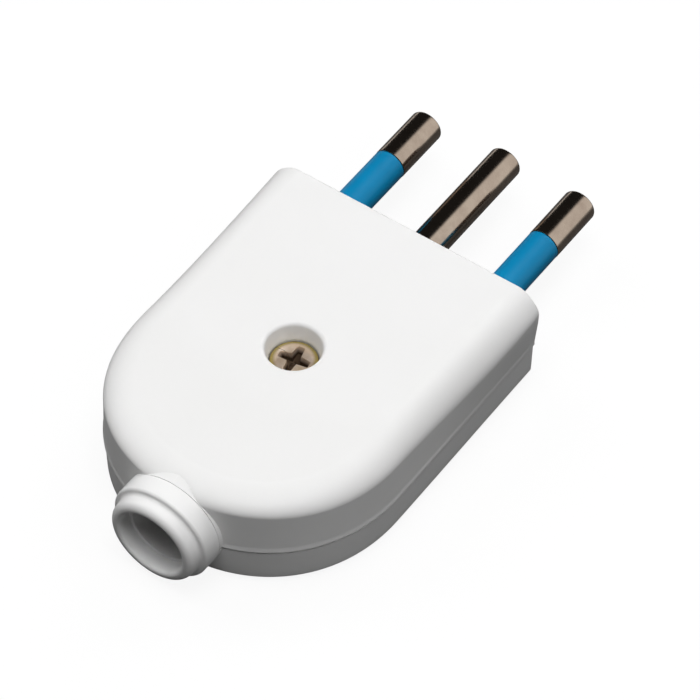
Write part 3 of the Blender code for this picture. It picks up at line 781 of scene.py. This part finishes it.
smooth_plastic = dict(roughness=(0.36, 0.42), depth=0.004 * MM, Specular_IOR_Level=0.4)
white = finish(
    "white_urea", moulded, 2600.0, ((0.85, 0.848, 0.842), (0.87, 0.868, 0.865)), **smooth_plastic
)
# The collar's whiter colour is painted light: the shells' plastic made lighter so that the collar's mouth
# and sides look brighter.
collar_painted_lighter = finish(
    "white_collar_painted_light", moulded, 2600.0, ((0.89, 0.888, 0.882), (0.91, 0.908, 0.905)), **smooth_plastic
)
blue = finish(
    "blue_sleeve",
    moulded,
    3000.0,
    ((0.002, 0.19, 0.39), (0.003, 0.225, 0.45)),
    (0.32, 0.42),
    0.006 * MM,
    Specular_IOR_Level=0.3,
)
grey = finish(
    "grey_clamp", moulded, 2000.0, ((0.54, 0.54, 0.52), (0.60, 0.60, 0.58)), (0.40, 0.55), 0.01 * MM
)
nickel = finish(
    "nickel_plate",
    turned,
    9000.0,
    ((0.47, 0.385, 0.31), (0.38, 0.30, 0.24)),
    (0.14, 0.22),
    0.003 * MM,
    Metallic=1.0,
)
# Both colours are light, so the head's flat top shows a painted highlight. Random stains mix the two.
yellow = finish(
    "yellow_zinc",
    turned,
    300.0,
    ((0.95, 0.80, 0.68), (0.74, 0.56, 0.38)),
    (0.24, 0.38),
    0.002 * MM,
    Metallic=0.7,
)
brass = finish(
    "turned_brass",
    turned,
    7000.0,
    ((0.80, 0.60, 0.28), (0.66, 0.47, 0.20)),
    (0.22, 0.34),
    0.006 * MM,
    Metallic=1.0,
)
zinc = finish(
    "zinc_plate",
    turned,
    7000.0,
    ((0.66, 0.66, 0.64), (0.52, 0.52, 0.50)),
    (0.25, 0.40),
    0.006 * MM,
    Metallic=1.0,
)
print("materials:", len(bpy.data.materials))

# %% [markdown]
# The yellow passivation is olive round the head's rim. The flat top of the head is lighter than that, a
# painted highlight, and the cross is painted dark, a painted shade in its recess. The distance from the
# screw's axis and the height tell the three apart.

# %% The rim and the cross of the screw
# The dark brown colour is painted shade in the cross's recess, and not dirt.
olive_colour, recess_shade_colour = (0.46, 0.36, 0.12, 1), (0.10, 0.065, 0.04, 1)
rim_start, rim_end = 2.5 * MM, 2.95 * MM
recess_shade_start, recess_shade_end = head_top - 0.5 * MM, head_top - 1.1 * MM
tree = yellow.node_tree
shader = tree.nodes["Principled BSDF"]
# The finish's own stained mix. Its light colours are a painted highlight where they show on the head's flat
# top.
stains_and_highlight = shader.inputs["Base Color"].links[0].from_socket
place = tree.nodes.new("ShaderNodeTexCoord").outputs["Object"]
split = tree.nodes.new("ShaderNodeSeparateXYZ")
tree.links.new(place, split.inputs[0])
squares = [maths(tree, "MULTIPLY", split.outputs[axis], split.outputs[axis]) for axis in "XY"]
off_axis = maths(tree, "SQRT", maths(tree, "ADD", *squares))
rim_share = span(tree, off_axis, rim_start, rim_end)
# Below this height the cross turns dark brown: painted shade in its recess.
recess_shade_share = span(tree, split.outputs["Z"], recess_shade_start, recess_shade_end)
olive = mix(tree, rim_share, stains_and_highlight, olive_colour)
tree.links.new(mix(tree, recess_shade_share, olive, recess_shade_colour), shader.inputs["Base Color"])

# %% [markdown]
# Every finished piece now gets its material and takes the place of its solid. The solids that stay are all
# inside the closed plug: the insert, the clamp and the small screws. Their shapes are right as they are, so
# they only get a finish.


# %% Dress the pieces
def dress(piece, node, material):
    """Gives a finished piece its material and lets it stand for its solid."""
    piece.data.materials.clear()
    piece.data.materials.append(material)
    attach(piece, "root")
    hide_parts(node)


dress(cover, "upper_shell", white)
dress(base, "lower_shell", white)
dress(collar, "cord_collar", collar_painted_lighter)
dress(screw, "housing_screw", yellow)
for node, piece in pins.items():
    dress(piece, node, nickel)
for node, piece in sleeves.items():
    dress(piece, node, blue)
inner = {
    "housing_insert": brass,
    "cord_clamp": grey,
    "live_terminal_screw": zinc,
    "neutral_terminal_screw": zinc,
    "earth_terminal_screw": zinc,
    "clamp_screw_left": zinc,
    "clamp_screw_right": zinc,
}
for node, material in inner.items():
    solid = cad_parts[node]
    solid.data.materials.clear()
    solid.data.materials.append(material)
print("inner solids kept:", len(inner))

# %% [markdown]
# The photograph looks down at the plug from behind its right shoulder, through a long lens. The camera's
# three axes are worked out from its azimuth and elevation: back points from the plug to the camera, right
# lies level, and up is square to both. A small roll then turns right and up. The camera was fitted to a
# point at the middle of the front's lower edge, and the picture's centre lies left of it and below it.

# %% Camera
azimuth, elevation, roll = (math.radians(angle) for angle in (35.041, 49.991, 0.385))
focal, distance = 4362.56, 607.623 * MM
centre_right, centre_up = -7.716 * MM, -6.893 * MM
picture, sensor = 700, 36.0
fitted_height, near, far = 0.22 * MM, 10 * MM, 10000 * MM
back = Vector((
    math.sin(azimuth) * math.cos(elevation),
    -math.cos(azimuth) * math.cos(elevation),
    math.sin(elevation),
))
level_right = Vector((math.cos(azimuth), math.sin(azimuth), 0))
level_up = back.cross(level_right)
right = level_right * math.cos(roll) + level_up * math.sin(roll)
up = level_up * math.cos(roll) - level_right * math.sin(roll)
fitted_point = Vector((0, front_y, fitted_height))
camera = bpy.data.objects.new("camera", bpy.data.cameras.new("camera"))
bpy.context.scene.collection.objects.link(camera)
camera.data.sensor_width = sensor
camera.data.lens = focal / picture * sensor
eye = fitted_point + back * distance + right * centre_right + up * centre_up
camera.matrix_world = Matrix.Translation(eye) @ Matrix((right, up, back)).transposed().to_4x4()
camera.data.clip_start, camera.data.clip_end = near, far
bpy.context.scene.camera = camera
print("lens:", round(camera.data.lens, 2), "mm")

# %% [markdown]
# The picture is a product shot on white. The floor looks white to the camera, while its own shading stays
# weak and grey, so that it keeps a soft shadow and throws little light back on the side walls. Reflections
# see it white only further off. Near the plug it stays dark to them, as a small dark mat would, and that
# gives the round pins their dark flank.

# %% The floor
floor_half, floor_white, floor_grey = 3.0, 0.9, (0.1, 0.1, 0.1, 1)
mat_radius, white_radius = 70 * MM, 170 * MM
corners = [(x * floor_half, y * floor_half, 0) for x, y in ((-1, -1), (1, -1), (1, 1), (-1, 1))]
floor_mesh = bpy.data.meshes.new("floor")
floor_mesh.from_pydata(corners, [], [(0, 1, 2, 3)])
floor = bpy.data.objects.new("floor", floor_mesh)
floor.location.z = solid_box[0][2]
bpy.context.scene.collection.objects.link(floor)

paper = bpy.data.materials.new("white_paper")
paper.use_nodes = True
tree = paper.node_tree
shade = tree.nodes["Principled BSDF"]
shade.inputs["Base Color"].default_value = floor_grey
shade.inputs["Roughness"].default_value = 1.0
shade.inputs["Specular IOR Level"].default_value = 0.0
path = tree.nodes.new("ShaderNodeLightPath")
away = tree.nodes.new("ShaderNodeVectorMath")
away.operation = "LENGTH"
tree.links.new(tree.nodes.new("ShaderNodeTexCoord").outputs["Object"], away.inputs[0])
beyond = span(tree, away.outputs["Value"], mat_radius, white_radius)
mirrored = maths(tree, "MULTIPLY", path.outputs["Is Glossy Ray"], beyond)
seen = maths(tree, "MAXIMUM", path.outputs["Is Camera Ray"], mirrored)
glow = maths(tree, "MULTIPLY", seen, floor_white)
shade.inputs["Emission Color"].default_value = (1, 1, 1, 1)
tree.links.new(glow, shade.inputs["Emission Strength"])
floor_mesh.materials.append(paper)

# %% [markdown]
# The world is white to the camera too, and a weak fill to the plug. Reflections see a white screen that
# fills the right side, fades out near the middle, and leaves the left nearly dark. On the pins it makes one
# pale band.

# %% The world
fill, screen_start, screen_end, screen_dark = 0.02, 0.02, 0.22, 0.015
world = bpy.data.worlds.new("studio")
bpy.context.scene.world = world
world.use_nodes = True
tree = world.node_tree
background = tree.nodes["Background"]
path = tree.nodes.new("ShaderNodeLightPath")
heading = tree.nodes.new("ShaderNodeSeparateXYZ")
tree.links.new(tree.nodes.new("ShaderNodeTexCoord").outputs["Generated"], heading.inputs[0])
screen = span(tree, heading.outputs["X"], screen_start, screen_end, screen_dark, 1.0)
mirrored = maths(tree, "MULTIPLY", path.outputs["Is Glossy Ray"], screen)
seen = maths(tree, "MAXIMUM", path.outputs["Is Camera Ray"], mirrored)
background.inputs["Color"].default_value = (1, 1, 1, 1)
tree.links.new(maths(tree, "MAXIMUM", seen, fill), background.inputs["Strength"])

# %% [markdown]
# Four square lamps light the plug. The strongest hangs almost straight above, so the top is bright and the
# walls fall away to grey. Three weaker ones stand halfway up in front and at both sides, and set how light
# each wall is. Reflections don't see the lamps, because a lamp would print a hard white square on the pins.


# %% Four lamps
def lamp(name, place, size, power):
    """A square area lamp that faces the plug."""
    data = bpy.data.lights.new(name, "AREA")
    data.shape, data.size, data.energy = "SQUARE", size, power
    made = bpy.data.objects.new(name, data)
    made.location = place
    made.visible_glossy = False
    made.rotation_euler = (-Vector(place)).to_track_quat("-Z", "Y").to_euler()
    bpy.context.scene.collection.objects.link(made)


for name, place, size, power in (
    ("overhead", (0.08, -0.12, 0.95), 0.55, 5.7),
    ("front", (0.0, 0.75, 0.75), 0.6, 3.1),
    ("left", (-0.75, 0.0, 0.75), 0.6, 3.3),
    ("right", (0.75, 0.0, 0.75), 0.6, 1.8),
):
    lamp(name, place, size, power)
bpy.context.scene.view_settings.view_transform = "Standard"

# %% [markdown]
# The box of the solids is printed. The dressed plug has to agree with it, because whoever reuses the part
# places it by the box of its solids.

# %% Sizes and finish
print("box of the solids:", np.round(np.array(solid_box) / MM, 2).tolist())
